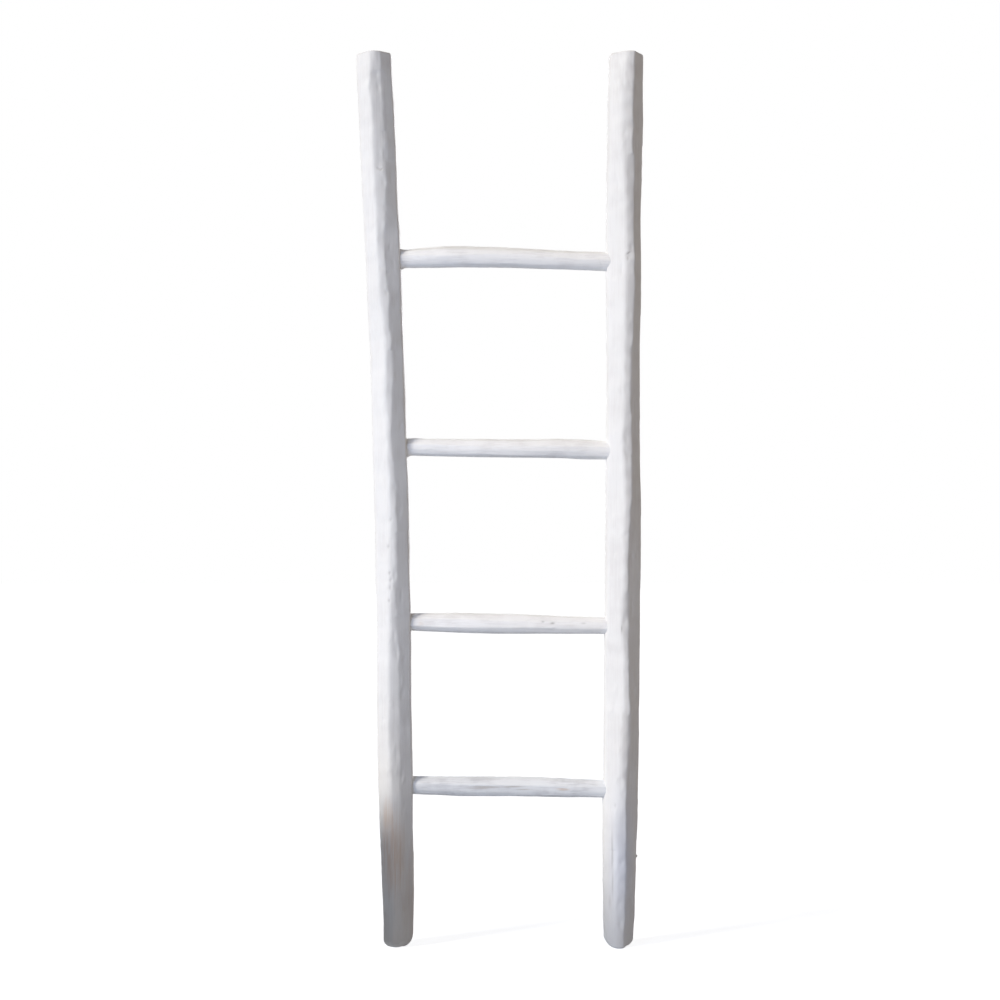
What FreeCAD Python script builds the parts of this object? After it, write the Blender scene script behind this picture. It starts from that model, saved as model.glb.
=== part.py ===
# A white decorative ladder: two hewn wooden rails joined by four round rungs.
# Each rung is whittled to a tenon at both ends, seated in a blind mortise and pinned by a nail from behind.
# Millimetres. X runs across the ladder, Y from front to back, Z up from the floor. The front faces -Y.
import FreeCAD, Part
import math
import os

import Sketcher

SIZES = {
    # The ladder and the lines of its two rails: X at the floor, X at the top and the bow between them.
    "ladder_height": 1500,
    "left_foot_x": -171.5,
    "left_head_x": -213,
    "left_bow": 9.5,
    "right_foot_x": 199.3,
    "right_head_x": 212,
    "right_bow": 1.5,
    # Widths of the hewn left rail, from its foot to its head.
    "left_width_at_foot": 49.5,
    "left_width_at_ankle": 50.5,
    "left_width_at_heel": 55,
    "left_width_at_rung_4": 57.5,
    "left_width_at_rung_3": 57.5,
    "left_width_at_span_3_2": 58.3,
    "left_width_at_rung_2": 58.3,
    "left_width_at_span_2_1": 56.8,
    "left_width_at_rung_1": 58.4,
    "left_width_at_head": 59.8,
    # Widths of the hewn right rail, from its foot to its head.
    "right_width_at_foot": 49.5,
    "right_width_at_ankle": 52.5,
    "right_width_at_heel": 56,
    "right_width_at_rung_4": 57.3,
    "right_width_at_rung_3": 59,
    "right_width_at_span_3_2": 59.2,
    "right_width_at_rung_2": 57.5,
    "right_width_at_span_2_1": 55.8,
    "right_width_at_rung_1": 58,
    "right_width_at_head": 59.2,
    # The rails' section and ends.
    "ankle_height": 60,
    "heel_height": 150,
    "rail_flattening": 4,
    "arris_round": 9,
    "foot_round": 9,
    "head_round": 4,
    # The rungs, counted from the top: height at the left rail, drop to the right, upward bow and diameters.
    "rung_1_height": 1156.5,
    "rung_1_drop": 4.7,
    "rung_1_bow": 3.5,
    "rung_1_left_diameter": 32.5,
    "rung_1_middle_diameter": 34.5,
    "rung_1_right_diameter": 31.5,
    "rung_2_height": 839.5,
    "rung_2_drop": 5.5,
    "rung_2_bow": 0.5,
    "rung_2_left_diameter": 29.5,
    "rung_2_middle_diameter": 30.5,
    "rung_2_right_diameter": 32,
    "rung_3_height": 544.5,
    "rung_3_drop": 5.2,
    "rung_3_bow": 0.6,
    "rung_3_left_diameter": 30.3,
    "rung_3_middle_diameter": 33.3,
    "rung_3_right_diameter": 30,
    "rung_4_height": 269.5,
    "rung_4_drop": 5.3,
    "rung_4_bow": 1.1,
    "rung_4_left_diameter": 30.3,
    "rung_4_middle_diameter": 33.4,
    "rung_4_right_diameter": 30.8,
    # The tenons on the rungs and the blind mortises that hold them.
    "whittled_length": 18,
    "tenon_diameter": 28.5,
    "tenon_reveal": 1.5,
    "tenon_chamfer": 1.5,
    "tenon_end_gap": 1,
    "tenon_clearance": 0.15,
    "mortise_depth": 38,
    # The square nails that pin the tenons from behind.
    "nail_width": 2.8,
    "nail_length": 30,
    "nail_point_length": 5,
    "nail_tip_width": 1,
    "nail_head_width": 5.5,
    "nail_head_thickness": 1.4,
    "nail_set": 1,
    "nail_inset": 14,
    "nail_clearance": 0.1,
}

# The rails' sections from floor to top, and the rungs from the top down.
STATIONS = (
    "foot",
    "ankle",
    "heel",
    "rung_4",
    "rung_3",
    "span_3_2",
    "rung_2",
    "span_2_1",
    "rung_1",
    "head",
)
RUNGS = ("1", "2", "3", "4")

# The signs of the steps along X from each rail to the middle of the ladder, and away from it.
INWARD = {"left": "+", "right": "-"}
OUTWARD = {"left": "-", "right": "+"}

# A hewn section has eight sides, and turns by this many degrees from each side to the next.
SECTION_SIDES = 8
SIDE_TURN = 45

# Each rung's bar is lofted in this many steps from left to right.
BAR_STEPS = 6

# The rounded ends are lofted through these steps of a quarter turn, in degrees.
ROUND_STEPS = (22.5, 45, 67.5, 90)

# An edge lies on the end of a piece if it is nearer to it than this.
END_TOLERANCE = 0.01

doc = FreeCAD.newDocument("ladder")
sheet = doc.addObject("Spreadsheet::Sheet", "sizes")


def fill_sheet():
    """Writes the driving sizes to the sheet, one row each, with the size's name as its alias."""
    for row, (name, size) in enumerate(SIZES.items(), start=1):
        sheet.set(f"A{row}", name)
        sheet.set(f"B{row}", str(size))
        sheet.setAlias(f"B{row}", name)
    doc.recompute()


def value_of(expression):
    """Returns the number that an expression on the sheet gives now."""
    return float(sheet.evalExpression(expression))


# Expressions for the places that rails, rungs and nails share.

def rung_height(side, rung):
    """The height of a rung's tenon at one rail."""
    if side == "left":
        return f"sizes.rung_{rung}_height"
    return f"(sizes.rung_{rung}_height - sizes.rung_{rung}_drop)"


def station_height(side, station):
    """The height of one section of a rail."""
    if station == "foot":
        return "sizes.foot_round"
    if station == "head":
        return "(sizes.ladder_height - sizes.head_round)"
    kind, *numbers = station.split("_")
    if kind == "rung":
        return rung_height(side, numbers[0])
    if kind == "span":
        return f"({rung_height(side, numbers[0])} + {rung_height(side, numbers[1])}) / 2"
    return f"sizes.{station}_height"


def rail_axis(side, height):
    """The X of a rail's middle line at a height: a straight lean and a shallow bow."""
    share = f"({height}) / sizes.ladder_height"
    lean = f"(sizes.{side}_head_x - sizes.{side}_foot_x) * {share}"
    bow = f"4 * sizes.{side}_bow * {share} * (1 - {share})"
    return f"(sizes.{side}_foot_x + {lean} + {bow})"


def rail_width(side, station):
    """The width of a rail at one of its sections."""
    return f"sizes.{side}_width_at_{station}"


def mouth_x(side, rung):
    """The X of a rail's inner face at a rung, where the mortise opens."""
    axis = rail_axis(side, rung_height(side, rung))
    return f"({axis} {INWARD[side]} {rail_width(side, f'rung_{rung}')} / 2)"


def bar_height(rung, share):
    """The height of a rung's middle line, at a share of the way from left to right: a drop and a bow."""
    drop = f"sizes.rung_{rung}_drop * {share}"
    bow = f"4 * sizes.rung_{rung}_bow * {share} * (1 - {share})"
    return f"(sizes.rung_{rung}_height - {drop} + {bow})"


def bar_diameter(rung, share):
    """The diameter of a rung at a share of its way, on a smooth swell through its three measured sizes."""
    left = f"sizes.rung_{rung}_left_diameter * (1 - {share}) * (1 - 2 * {share})"
    middle = f"sizes.rung_{rung}_middle_diameter * 4 * {share} * (1 - {share})"
    right = f"sizes.rung_{rung}_right_diameter * {share} * (2 * {share} - 1)"
    return f"({left} + {middle} + {right})"


def nail_x(side, rung):
    """The X of a nail, set in from the mortise's floor, so that it stays near the tenon's end."""
    return f"({mouth_x(side, rung)} {OUTWARD[side]} (sizes.mortise_depth - sizes.nail_inset))"


def nail_top_y(side, rung):
    """The Y of a nail's head, set below the rail's back face."""
    return f"(({rail_width(side, f'rung_{rung}')} - sizes.rail_flattening) / 2 - sizes.nail_set)"


# Sketches and features.

def add_sketch(body, name, role, offset):
    """Adds a sketch on one of the body's own planes, moved along the plane's normal."""
    sketch = body.newObject("Sketcher::SketchObject", f"{body.Name}_{name}")
    plane = next(item for item in body.Origin.OriginFeatures if item.Role == role)
    sketch.AttachmentSupport = (plane, [""])
    sketch.MapMode = "FlatFace"
    sketch.setExpression("AttachmentOffset.Base.z", offset)
    return sketch


def bind(sketch, kind, places, size):
    """Adds a dimension to a sketch and ties it to an expression."""
    index = sketch.addConstraint(Sketcher.Constraint(kind, *places, value_of(size)))
    sketch.setExpression(f"Constraints[{index}]", size)


def draw_circle(sketch, y, diameter):
    """Draws a circle on the sketch's vertical axis, whose height and diameter follow expressions."""
    middle = FreeCAD.Vector(0, value_of(y), 0)
    circle = Part.Circle(middle, FreeCAD.Vector(0, 0, 1), value_of(diameter) / 2)
    index = sketch.addGeometry(circle, False)
    bind(sketch, "DistanceX", (index, 3), "0")
    bind(sketch, "DistanceY", (index, 3), y)
    bind(sketch, "Diameter", (index,), diameter)


def draw_square(sketch, x, y, width):
    """Draws a square whose middle and width follow expressions."""
    corners = []
    for across, up in (("-", "-"), ("+", "-"), ("+", "+"), ("-", "+")):
        corners.append((f"{x} {across} ({width}) / 2", f"{y} {up} ({width}) / 2"))
    points = [FreeCAD.Vector(value_of(across), value_of(up), 0) for across, up in corners]
    sides = [sketch.addGeometry(Part.LineSegment(points[i - 1], points[i]), False) for i in range(4)]
    joins = [Sketcher.Constraint("Coincident", sides[i - 1], 2, sides[i], 1) for i in range(4)]
    sketch.addConstraint(joins)
    for side, (across, up) in zip(sides, corners):
        bind(sketch, "DistanceX", (side, 2), across)
        bind(sketch, "DistanceY", (side, 2), up)


def draw_hewn_section(sketch, axis, width):
    """Draws a rail's section: an octagon, flatter from front to back, with its corners worn round."""
    depth = f"({width} - sizes.rail_flattening)"
    corner = f"{depth} * (1 - cos({SIDE_TURN}))"
    worn = f"sizes.arris_round * tan({SIDE_TURN / 2})"
    flat = f"({width} / 2 - {corner} - {worn})"
    sides, arcs = add_worn_octagon(
        sketch,
        FreeCAD.Vector(value_of(axis), 0, 0),
        value_of(f"{width} / 2"),
        value_of(f"{depth} / 2"),
        value_of(corner),
    )
    relate_worn_octagon(sketch, sides, arcs)
    front, _, right, _, back, _, left, _ = sides
    bind(sketch, "Radius", (arcs[0],), "sizes.arris_round")
    bind(sketch, "DistanceY", (front, 1), f"-{depth} / 2")
    bind(sketch, "DistanceY", (back, 1), f"{depth} / 2")
    bind(sketch, "DistanceX", (left, 1), f"{axis} - {width} / 2")
    bind(sketch, "DistanceX", (right, 1), f"{axis} + {width} / 2")
    bind(sketch, "DistanceX", (front, 1), f"{axis} - {flat}")
    bind(sketch, "DistanceX", (front, 2), f"{axis} + {flat}")
    bind(sketch, "DistanceX", (back, 1), f"{axis} + {flat}")
    bind(sketch, "DistanceX", (back, 2), f"{axis} - {flat}")


def add_worn_octagon(sketch, middle, half_width, half_depth, corner):
    """Adds the lines and arcs of a hewn section, round from the front, and returns their numbers."""
    radius = value_of("sizes.arris_round")
    slant = math.sqrt(0.5)
    sides = []
    arcs = []
    for index in range(SECTION_SIDES):
        turn = math.radians(SIDE_TURN * index)
        outward = FreeCAD.Vector(math.sin(turn), -math.cos(turn), 0)
        along = FreeCAD.Vector(math.cos(turn), math.sin(turn), 0)
        if index in (0, 4):
            reach, half_side, slide = half_depth, half_width - corner, 0
        elif index in (2, 6):
            reach, half_side, slide = half_width, half_depth - corner, 0
        else:
            reach = (half_width + half_depth - corner) * slant
            half_side = corner * slant
            slide = (half_width - half_depth) * slant * (1 if index in (1, 5) else -1)
        half_side -= radius * math.tan(math.radians(SIDE_TURN / 2))
        start = middle + outward * reach + along * (slide - half_side)
        end = middle + outward * reach + along * (slide + half_side)
        sides.append(sketch.addGeometry(Part.LineSegment(start, end), False))
        circle = Part.Circle(end - outward * radius, FreeCAD.Vector(0, 0, 1), radius)
        first = turn - math.radians(90)
        arc = Part.ArcOfCircle(circle, first, first + math.radians(SIDE_TURN))
        arcs.append(sketch.addGeometry(arc, False))
    return sides, arcs


def relate_worn_octagon(sketch, sides, arcs):
    """Ties the sides of a hewn section to each other: directions, smooth corners and equal arcs."""
    relations = []
    for index in range(SECTION_SIDES):
        following = sides[(index + 1) % SECTION_SIDES]
        relations.append(Sketcher.Constraint("Tangent", sides[index], 2, arcs[index], 1))
        relations.append(Sketcher.Constraint("Tangent", arcs[index], 2, following, 1))
    front, front_right, right, back_right, back, back_left, left, front_left = sides
    relations += [Sketcher.Constraint("Horizontal", side) for side in (front, back)]
    relations += [Sketcher.Constraint("Vertical", side) for side in (left, right)]
    relations += [
        Sketcher.Constraint("Angle", front_right, math.radians(SIDE_TURN)),
        Sketcher.Constraint("Parallel", front_right, back_left),
        Sketcher.Constraint("Perpendicular", front_right, back_right),
        Sketcher.Constraint("Parallel", back_right, front_left),
    ]
    relations += [Sketcher.Constraint("Equal", arcs[0], arc) for arc in arcs[1:]]
    sketch.addConstraint(relations)


def add_loft(body, name, sections):
    """Adds a solid through a row of section sketches, with straight sides from each to the next."""
    loft = body.newObject("PartDesign::AdditiveLoft", f"{body.Name}_{name}")
    loft.Profile = sections[0]
    loft.Sections = sections[1:]
    loft.Ruled = True
    loft.Refine = False


def add_pad(body, sketch, length, reverse):
    """Raises a sketch by a length that follows an expression."""
    pad = body.newObject("PartDesign::Pad", f"{sketch.Name}_pad")
    pad.Profile = sketch
    pad.Reversed = reverse
    pad.setExpression("Length", length)


def add_pocket(body, sketch, reverse):
    """Cuts a sketch through everything on one side of it."""
    pocket = body.newObject("PartDesign::Pocket", f"{sketch.Name}_cut")
    pocket.Profile = sketch
    pocket.Type = "ThroughAll"
    pocket.Reversed = reverse
    pocket.Refine = False


def cut_nail_hole(body, side, rung, name, width, depth):
    """Cuts a square hole for part of a nail, open to the back and as deep below its top as given."""
    floor = f"({nail_top_y(side, rung)} - {depth})"
    sketch = add_sketch(body, name, "XZ_Plane", f"-{floor}")
    draw_square(sketch, nail_x(side, rung), rung_height(side, rung), f"{width} + 2 * sizes.nail_clearance")
    add_pocket(body, sketch, False)


def chamfer_ends(body):
    """Breaks the rims of a rung's two tenons, so that they start easily in their mortises."""
    whole = body.Tip
    box = whole.Shape.BoundBox
    rims = []
    for index, edge in enumerate(whole.Shape.Edges, start=1):
        at_left = edge.BoundBox.XMax < box.XMin + END_TOLERANCE
        at_right = edge.BoundBox.XMin > box.XMax - END_TOLERANCE
        if at_left or at_right:
            rims.append(f"Edge{index}")
    chamfer = body.newObject("PartDesign::Chamfer", f"{body.Name}_tenon_chamfer")
    chamfer.Base = (whole, rims)
    chamfer.setExpression("Size", "sizes.tenon_chamfer")


# The pieces.

def make_rail(side):
    """One rail: a hewn pole that swells and bows, with worn ends, mortises and nail holes."""
    body = doc.addObject("PartDesign::Body", f"{side}_rail")
    sections = []
    for station in STATIONS:
        height = station_height(side, station)
        sketch = add_sketch(body, f"section_{station}", "XY_Plane", height)
        draw_hewn_section(sketch, rail_axis(side, height), rail_width(side, station))
        sections.append(sketch)
    add_loft(body, "pole", sections)
    for end, first, floor, way in (
        ("foot", sections[0], "0", "+"),
        ("head", sections[-1], "sizes.ladder_height", "-"),
    ):
        steps = [first]
        for turn in ROUND_STEPS:
            height = f"({floor} {way} sizes.{end}_round * (1 - sin({turn})))"
            inset = f"2 * sizes.{end}_round * (1 - cos({turn}))"
            sketch = add_sketch(body, f"{end}_round_{len(steps)}", "XY_Plane", height)
            axis = rail_axis(side, station_height(side, end))
            draw_hewn_section(sketch, axis, f"({rail_width(side, end)} - {inset})")
            steps.append(sketch)
        add_loft(body, f"worn_{end}", steps)
    for rung in RUNGS:
        floor = f"{mouth_x(side, rung)} {OUTWARD[side]} sizes.mortise_depth"
        sketch = add_sketch(body, f"mortise_{rung}", "YZ_Plane", floor)
        bore = "sizes.tenon_diameter + 2 * sizes.tenon_clearance"
        draw_circle(sketch, rung_height(side, rung), bore)
        add_pocket(body, sketch, side == "left")
        cut_nail_hole(body, side, rung, f"nail_hole_{rung}", "sizes.nail_width", "sizes.nail_length")
        cut_nail_hole(
            body,
            side,
            rung,
            f"nail_recess_{rung}",
            "sizes.nail_head_width",
            "sizes.nail_head_thickness",
        )
    return body


def make_rung(rung):
    """One rung: a bowed round bar, whittled down to a tenon at each end and drilled for the nails."""
    body = doc.addObject("PartDesign::Body", f"rung_{rung}")
    shoulders = {}
    ends = {}
    for side, inward in INWARD.items():
        shoulders[side] = f"({mouth_x(side, rung)} {inward} sizes.tenon_reveal)"
        ends[side] = f"({shoulders[side]} {inward} sizes.whittled_length)"
    bar = []
    for step in range(BAR_STEPS + 1):
        share = step / BAR_STEPS
        place = f"{ends['left']} * (1 - {share}) + {ends['right']} * {share}"
        sketch = add_sketch(body, f"bar_{step}", "YZ_Plane", place)
        draw_circle(sketch, bar_height(rung, share), bar_diameter(rung, share))
        bar.append(sketch)
    add_loft(body, "bar", bar)
    for side, section in (("left", bar[0]), ("right", bar[-1])):
        shoulder = add_sketch(body, f"{side}_shoulder", "YZ_Plane", shoulders[side])
        draw_circle(shoulder, rung_height(side, rung), "sizes.tenon_diameter")
        add_loft(body, f"{side}_whittled", [section, shoulder])
        reach = "sizes.tenon_reveal + sizes.mortise_depth - sizes.tenon_end_gap"
        add_pad(body, shoulder, reach, side == "left")
    doc.recompute()
    chamfer_ends(body)
    for side in INWARD:
        cut_nail_hole(body, side, rung, f"{side}_nail_hole", "sizes.nail_width", "sizes.nail_length")
    return body


def make_nail(side, rung):
    """One nail: a square head and shank, tapered at the point."""
    body = doc.addObject("PartDesign::Body", f"nail_{rung}_{side}")
    top = nail_top_y(side, rung)
    neck = "sizes.nail_head_thickness"
    taper = "(sizes.nail_length - sizes.nail_point_length)"
    sketches = []
    for name, depth, width in (
        ("head", "0", "sizes.nail_head_width"),
        ("neck", neck, "sizes.nail_width"),
        ("taper", taper, "sizes.nail_width"),
        ("tip", "sizes.nail_length", "sizes.nail_tip_width"),
    ):
        sketch = add_sketch(body, name, "XZ_Plane", f"{depth} - {top}")
        draw_square(sketch, nail_x(side, rung), rung_height(side, rung), width)
        sketches.append(sketch)
    add_pad(body, sketches[0], neck, False)
    add_pad(body, sketches[1], f"{taper} - {neck}", False)
    add_loft(body, "point", sketches[2:])
    return body


# The checks and the files.

def check(pieces):
    """Stops the build if an object failed, a cut removed nothing or a piece isn't one valid solid."""
    for item in doc.Objects:
        if "Invalid" in item.State or "Error" in item.State:
            raise RuntimeError(f"{item.Label} failed: {item.State}")
        if item.TypeId == "PartDesign::Pocket" and item.Shape.Volume >= item.BaseFeature.Shape.Volume:
            raise RuntimeError(f"{item.Label} cuts nothing")
    for piece in pieces:
        shape = piece.Shape
        if shape.isNull() or not shape.isValid() or len(shape.Solids) != 1:
            raise RuntimeError(f"{piece.Label} isn't one valid solid")


def build():
    """Makes every piece of the ladder and writes each to a file of its own name."""
    fill_sheet()
    pieces = [make_rail(side) for side in INWARD]
    pieces += [make_rung(rung) for rung in RUNGS]
    pieces += [make_nail(side, rung) for rung in RUNGS for side in INWARD]
    doc.recompute()
    check(pieces)
    os.makedirs("parts", exist_ok=True)
    for piece in pieces:
        piece.Shape.exportStep(f"parts/{piece.Label}.step")
        print(f"{piece.Label}: {piece.Shape.Volume / 1000:.1f} cm3")


build()
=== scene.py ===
"""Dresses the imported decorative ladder: hewn rails and rungs under brushed white paint, in a plain studio.

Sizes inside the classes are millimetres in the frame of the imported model: X across the ladder, Y from
front to back, Z up from the floor. Turns are degrees round a piece, from its front towards the right, or
upwards on a rung.
"""

import logging
import math
import random
from dataclasses import dataclass, replace
from enum import Enum

import bmesh
import bpy
import mathutils
import numpy as np
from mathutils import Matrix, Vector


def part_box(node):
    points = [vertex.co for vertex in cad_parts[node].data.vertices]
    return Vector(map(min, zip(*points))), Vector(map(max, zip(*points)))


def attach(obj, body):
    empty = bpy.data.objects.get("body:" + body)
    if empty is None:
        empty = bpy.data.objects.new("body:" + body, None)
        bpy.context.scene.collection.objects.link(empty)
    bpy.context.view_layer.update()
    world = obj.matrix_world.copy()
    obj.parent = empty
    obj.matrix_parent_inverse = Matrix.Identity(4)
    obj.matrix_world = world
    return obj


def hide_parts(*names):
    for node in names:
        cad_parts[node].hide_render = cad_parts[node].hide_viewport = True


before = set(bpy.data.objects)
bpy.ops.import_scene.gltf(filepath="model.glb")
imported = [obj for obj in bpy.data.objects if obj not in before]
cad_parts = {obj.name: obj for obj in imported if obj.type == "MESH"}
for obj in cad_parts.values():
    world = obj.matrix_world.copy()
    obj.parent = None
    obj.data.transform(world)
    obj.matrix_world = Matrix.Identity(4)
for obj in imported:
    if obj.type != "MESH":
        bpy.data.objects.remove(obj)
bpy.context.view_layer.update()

LOG = logging.getLogger("ladder")

# One millimetre in metres.
MM = 0.001

# Points nearer than this, in metres, are one point.
WELD = 1e-6

# How many places a course looks at to ease its corners.
EASE_STEPS = 9

# How far the weights of those places fall off, as a share of half a wave.
EASE_FALL = 0.9

# How sharp the edges of a knife's cuts are.
CUT_CRISP = 60.0

# The largest angle from a cut's own direction at which it still reaches the wood, as a cosine.
GRAZING = 0.12

# A distance in millimetres that lies outside every piece's section.
FAR = 100.0

# The numbers of a colour mix's factor, its two colours and its output.
MIX_FACTOR, MIX_FIRST, MIX_SECOND, MIX_RESULT = 0, 6, 7, 2

# What is noted about the paint at each point of a surface: three of a mark's strengths.
PAINT_NOTES = ("bare", "grime", "cool")


def linear(colour: str) -> tuple[float, float, float, float]:
    """Turns an sRGB hex colour to linear red, green, blue and alpha.

    Args:
        colour: six hex digits after a hash.

    Returns:
        The four linear values.
    """
    parts = [int(colour[place:place + 2], 16) / 255 for place in (1, 3, 5)]
    values = [part / 12.92 if part <= 0.04045 else ((part + 0.055) / 1.055) ** 2.4 for part in parts]
    return values[0], values[1], values[2], 1.0


def add_node(
    tree: bpy.types.NodeTree,
    kind: str,
    inputs: dict[str | int, object] | None = None,
    **settings: object,
) -> bpy.types.Node:
    """Adds a node with its settings, values and links.

    Args:
        tree: the node tree that gets the node.
        kind: the node's type.
        inputs: a value, or a socket to link from, for each input by name or number.
        **settings: the node's own properties.

    Returns:
        The new node.
    """
    node = tree.nodes.new(kind)
    for name, setting in settings.items():
        setattr(node, name, setting)
    for name, value in (inputs or {}).items():
        if isinstance(value, bpy.types.NodeSocket):
            tree.links.new(value, node.inputs[name])
        else:
            node.inputs[name].default_value = value
    return node


def blank_material(name: str) -> bpy.types.Material:
    """Makes a material with no nodes yet.

    Args:
        name: the material's name.

    Returns:
        The material.
    """
    material = bpy.data.materials.new(name)
    material.use_nodes = True
    material.node_tree.nodes.clear()
    return material


def stand(name: str, shape: bmesh.types.BMesh) -> bpy.types.Object:
    """Turns a finished shape into an object at the origin.

    Args:
        name: the object's name.
        shape: the shape, which is used up.

    Returns:
        The object.
    """
    mesh = bpy.data.meshes.new(name)
    shape.to_mesh(mesh)
    shape.free()
    piece = bpy.data.objects.new(name, mesh)
    bpy.context.scene.collection.objects.link(piece)
    return piece


class Grain(Enum):
    """The way that the wood's grain and the brush run, as the axis of the frame."""

    UPRIGHT = "Z"
    ACROSS = "X"


@dataclass(frozen=True)
class Course:
    """A size that changes along a piece, noted at a few places and eased between them.

    Attributes:
        notes: the size at each of a few places.
        ease: how far the corners there are rounded off.
    """

    notes: dict[float, float]
    ease: float = 14.0

    def at(self, places: np.ndarray) -> np.ndarray:
        """Works out the size at some places.

        Args:
            places: where, along the piece.

        Returns:
            The size at each place.
        """
        known, sizes = zip(*sorted(self.notes.items()))
        shifts = np.linspace(-1.0, 1.0, EASE_STEPS)
        weights = 1.0 + np.cos(shifts * math.pi * EASE_FALL)
        total = np.zeros_like(places)
        for shift, weight in zip(shifts, weights):
            total += weight * np.interp(places + shift * self.ease, known, sizes)
        return total / weights.sum()


@dataclass(frozen=True)
class Stroke:
    """One cut of the draw-knife: it bites at its start, takes a flat off the wood and runs out.

    Attributes:
        turn: the way that the flat faces.
        start: where the knife bites.
        end: where it has run out.
        depth: how much it takes off.
    """

    turn: float
    start: float
    end: float
    depth: float

    # The run over which the knife bites, its lift off the wood, and, as shares of the cut, where it begins
    # to rise, how deep it still is there, and where it is clear.
    RUN_IN = (-2.0, 5.0)
    LIFT = 4.0
    RISE, RISE_DEPTH, CLEAR = 0.55, 0.8, 1.6

    def bite(self, places: np.ndarray) -> np.ndarray:
        """Works out how deep the knife is along the piece.

        Args:
            places: where, along the piece.

        Returns:
            The depth at each place, below zero where the knife is off the wood.
        """
        way = 1.0 if self.end > self.start else -1.0
        along = (places - self.start) * way
        reach = abs(self.end - self.start)
        known = (*self.RUN_IN, self.RISE * reach, reach, self.CLEAR * reach)
        depths = (-self.LIFT, self.depth, self.RISE_DEPTH * self.depth, 0.0, -self.LIFT)
        return np.interp(along, known, depths)


@dataclass(frozen=True)
class Mark:
    """A small mark on a surface: a dent, a crack, a raised knot, a thin or a dirty place in the paint, a
    patch of painted shade, a tint of painted bluish light.

    Attributes:
        place: where it is along the piece.
        turn: where it is round the piece.
        length: half its length along the piece.
        width: half its width round the piece.
        depth: how deep it is, below zero where it stands up.
        bare: how far the wood shows through the paint there, from 0 to 1.
        grime: how dark it is there, from 0 to 1: soiling in cracks, dents and streaks, and painted shade at
            the rungs' joints and the rails' feet.
        cool: how far the paint there is tinted blue, as painted bluish light, from 0 to 1.
        slant: how far it climbs along the piece for each millimetre round it.
    """

    place: float
    turn: float
    length: float
    width: float
    depth: float = 0.0
    bare: float = 0.0
    grime: float = 0.0
    cool: float = 0.0
    slant: float = 0.0

    def spread(self, places: np.ndarray, turns: np.ndarray, radius: np.ndarray) -> np.ndarray:
        """Works out how strongly the mark shows over a surface.

        Args:
            places: places along the piece, one for each row of points.
            turns: turns round the piece, one for each column of points.
            radius: the distance of each point from the piece's middle line.

        Returns:
            The share of the mark's full strength at each point.
        """
        away = (turns - self.turn + 180.0) % 360.0 - 180.0
        across = np.radians(away)[None, :] * radius
        along = places[:, None] - self.place - self.slant * across
        return np.exp(-((along / self.length) ** 2) - (across / self.width) ** 2)


@dataclass(frozen=True)
class Facet:
    """One long flat side of a hewn pole.

    Attributes:
        turn: the way it faces along the piece.
        reach: its distance from the middle line along the piece.
    """

    turn: np.ndarray
    reach: np.ndarray


@dataclass
class HewnSkin:
    """The shaped surface of one pole, as rows of points round it.

    Attributes:
        places: the place of each row along the piece.
        turns: the turn of each column.
        radius: the distance of each point from the middle line.
        notes: how strongly each of the paint's notes holds at each point.
    """

    places: np.ndarray
    turns: np.ndarray
    radius: np.ndarray
    notes: dict[str, np.ndarray]

    @classmethod
    def from_facets(cls, places: np.ndarray, columns: int, facets: list[Facet], crisp: float) -> "HewnSkin":
        """Starts a surface as the shape that a row of long flats leaves.

        Args:
            places: the place of each row.
            columns: how many points go round.
            facets: the flats.
            crisp: how sharp the edges between them are.

        Returns:
            The surface.
        """
        turns = np.linspace(-180.0, 180.0, columns + 1)
        far = np.full((len(places), columns + 1), FAR)
        skin = cls(places, turns, far, {name: np.zeros_like(far) for name in PAINT_NOTES})
        skin.trim(facets, crisp)
        return skin

    def trim(self, facets: list[Facet], crisp: float) -> None:
        """Takes more long flats off the surface.

        Args:
            facets: the flats.
            crisp: how sharp their edges are.
        """
        total = self.radius ** -crisp
        for facet in facets:
            facing = np.cos(np.radians(self.turns[None, :] - facet.turn[:, None]))
            total += (np.maximum(facing, GRAZING) / facet.reach[:, None]) ** crisp
        self.radius = total ** (-1.0 / crisp)

    def cut(self, strokes: list[Stroke]) -> None:
        """Takes the draw-knife's strokes off the surface.

        Args:
            strokes: the cuts, in order.
        """
        for stroke in strokes:
            facing = np.cos(np.radians(self.turns - stroke.turn))[None, :]
            support = np.max(self.radius * facing, axis=1)
            reach = support - stroke.bite(self.places)
            flat = np.maximum(facing, GRAZING) / reach[:, None]
            self.radius = (self.radius ** -CUT_CRISP + flat ** CUT_CRISP) ** (-1.0 / CUT_CRISP)

    def sway(self, height: float, length: float, seed: int) -> None:
        """Gives the surface a slow, uneven swell, as wood has under a hand tool.

        Args:
            height: how far it swells.
            length: the length of the swells along the piece.
            seed: the start of the random row.
        """
        draw = random.Random(seed)
        for harmonic in (1, 2, 3):
            for lobes in (1, 2, 3, 4):
                phase = draw.uniform(0.0, math.tau)
                drift = draw.uniform(-1.0, 1.0)
                wave = np.sin(math.tau * harmonic * self.places / length + phase)[:, None]
                lobe = np.cos(np.radians(self.turns) * lobes + drift * math.pi)[None, :]
                self.radius += height / (harmonic * lobes) * wave * lobe

    def mark(self, marks: list[Mark]) -> None:
        """Presses the marks into the surface and notes what they do to the paint.

        Args:
            marks: the marks.
        """
        for item in marks:
            share = item.spread(self.places, self.turns, self.radius)
            self.radius -= item.depth * share
            for name, values in self.notes.items():
                np.maximum(values, getattr(item, name) * share, out=values)


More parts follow.
